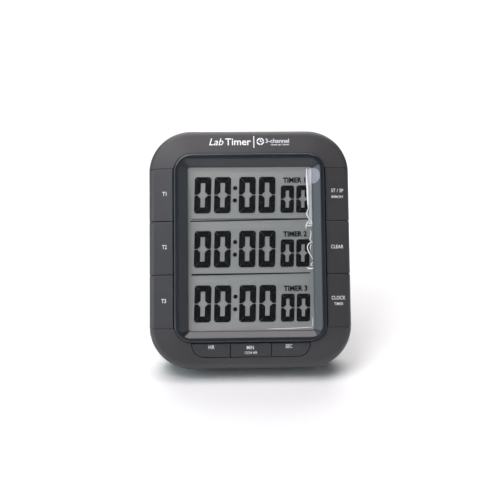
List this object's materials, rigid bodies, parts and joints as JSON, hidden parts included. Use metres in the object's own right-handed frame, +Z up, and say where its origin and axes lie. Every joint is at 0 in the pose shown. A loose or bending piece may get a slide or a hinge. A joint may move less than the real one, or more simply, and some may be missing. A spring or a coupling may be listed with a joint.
{
  "type": "lab timer",
  "caption": "Rounded three-channel laboratory timer with a sunken display, side and bottom keys, magnets and a folding stand.",
  "frame": {"origin": "middle of the flat on the case's bottom edge that rests on the bench, with the stand open", "axes": "+Z up, +Y towards the back, where the stand reaches; the display faces -Y and leans back 30 degrees"},
  "size_m": [0.105, 0.0792, 0.1149],
  "materials": {
    "adhesive": "die-cut foam tape",
    "bezel_plastic": "polished",
    "board": "solder mask over glass epoxy",
    "brass": "bright",
    "case_plastic": "fine spark-eroded texture",
    "cell": "shrink sleeve",
    "ceramic_chip": "sintered",
    "clear_window": "polished clear acrylic",
    "conductive_rubber": "matte",
    "epoxy": "glob top",
    "ferrite": "sintered",
    "film": "thin clear polyethylene",
    "frame_plastic": "moulded",
    "key_plastic": "satin, printed legends",
    "lcd_glass": "polished",
    "magnet_nickel": "nickel plated",
    "pad_rubber": "matte",
    "piezo": "silvered ceramic",
    "polarizer": "anti-glare polarizer, seen with the grey-green reflector behind it",
    "reflector": "silver grey foil",
    "silicone": "matte",
    "spring_steel": "nickel plated",
    "steel": "zinc plated",
    "tin": "tinned",
    "wire": "PVC insulation"
  },
  "bodies": {
    "case": {"battery_contacts": "spring_steel", "battery_lower": "cell", "battery_springs": "spring_steel", "battery_upper": "cell", "board_screws": "steel", "case_screws": "steel", "chip_capacitors": "ceramic_chip", "circuit_board": "board", "controller_chip": "epoxy", "display_bezel": "bezel_plastic", "display_window": "clear_window", "front_housing": "case_plastic", "keypad_bottom": "silicone", "keypad_left": "silicone", "keypad_right": "silicone", "kickstand_pins": "steel", "lcd_frame": "frame_plastic", "lcd_front_glass": "lcd_glass", "lcd_polarizer": "polarizer", "lcd_rear_glass": "lcd_glass", "lcd_reflector": "reflector", "magnet_left": "magnet_nickel", "magnet_right": "magnet_nickel", "protective_film": "film", "quartz_crystal": "tin", "rear_cover": "case_plastic", "sounder_ceramic": "piezo", "sounder_coil": "ferrite", "sounder_disc": "brass", "sounder_wires": "wire", "window_adhesive": "adhesive", "zebra_strips": "conductive_rubber"},
    "stand": {"kickstand": "case_plastic", "kickstand_pad": "pad_rubber"},
    "door": {"battery_door": "case_plastic"},
    "button_timer_1": {"key_timer_1": "key_plastic", "contact_pill_timer_1": "conductive_rubber"},
    "button_timer_2": {"key_timer_2": "key_plastic", "contact_pill_timer_2": "conductive_rubber"},
    "button_timer_3": {"key_timer_3": "key_plastic", "contact_pill_timer_3": "conductive_rubber"},
    "button_start_stop": {"key_start_stop": "key_plastic", "contact_pill_start_stop": "conductive_rubber"},
    "button_clear": {"key_clear": "key_plastic", "contact_pill_clear": "conductive_rubber"},
    "button_clock": {"key_clock": "key_plastic", "contact_pill_clock": "conductive_rubber"},
    "button_hour": {"key_hour": "key_plastic", "contact_pill_hour": "conductive_rubber"},
    "button_minute": {"key_minute": "key_plastic", "contact_pill_minute": "conductive_rubber"},
    "button_second": {"key_second": "key_plastic", "contact_pill_second": "conductive_rubber"}
  },
  "joints": [
    {"name": "stand_fold", "type": "hinge", "parent": "case", "child": "stand", "pos_m": [0, 0.03875, 0.06783], "axis": [-1, 0, 0], "range_deg": [0, 45]},
    {"name": "door_open", "type": "hinge", "parent": "case", "child": "door", "pos_m": [0, 0.01166, 0.0165], "axis": [-1, 0, 0], "range_deg": [0, 60]},
    {"name": "press_timer_1", "type": "slide", "parent": "case", "child": "button_timer_1", "axis": [0, 0.866, -0.5], "range_m": [0, 0.0008], "stiffness_N_per_m": 600, "springref_m": -0.0006, "deforming": ["keypad_left"]},
    {"name": "press_timer_2", "type": "slide", "parent": "case", "child": "button_timer_2", "axis": [0, 0.866, -0.5], "range_m": [0, 0.0008], "stiffness_N_per_m": 600, "springref_m": -0.0006, "deforming": ["keypad_left"]},
    {"name": "press_timer_3", "type": "slide", "parent": "case", "child": "button_timer_3", "axis": [0, 0.866, -0.5], "range_m": [0, 0.0008], "stiffness_N_per_m": 600, "springref_m": -0.0006, "deforming": ["keypad_left"]},
    {"name": "press_start_stop", "type": "slide", "parent": "case", "child": "button_start_stop", "axis": [0, 0.866, -0.5], "range_m": [0, 0.0008], "stiffness_N_per_m": 600, "springref_m": -0.0006, "deforming": ["keypad_right"]},
    {"name": "press_clear", "type": "slide", "parent": "case", "child": "button_clear", "axis": [0, 0.866, -0.5], "range_m": [0, 0.0008], "stiffness_N_per_m": 600, "springref_m": -0.0006, "deforming": ["keypad_right"]},
    {"name": "press_clock", "type": "slide", "parent": "case", "child": "button_clock", "axis": [0, 0.866, -0.5], "range_m": [0, 0.0008], "stiffness_N_per_m": 600, "springref_m": -0.0006, "deforming": ["keypad_right"]},
    {"name": "press_hour", "type": "slide", "parent": "case", "child": "button_hour", "axis": [0, 0.866, -0.5], "range_m": [0, 0.0008], "stiffness_N_per_m": 600, "springref_m": -0.0006, "deforming": ["keypad_bottom"]},
    {"name": "press_minute", "type": "slide", "parent": "case", "child": "button_minute", "axis": [0, 0.866, -0.5], "range_m": [0, 0.0008], "stiffness_N_per_m": 600, "springref_m": -0.0006, "deforming": ["keypad_bottom"]},
    {"name": "press_second", "type": "slide", "parent": "case", "child": "button_second", "axis": [0, 0.866, -0.5], "range_m": [0, 0.0008], "stiffness_N_per_m": 600, "springref_m": -0.0006, "deforming": ["keypad_bottom"]}
  ]
}
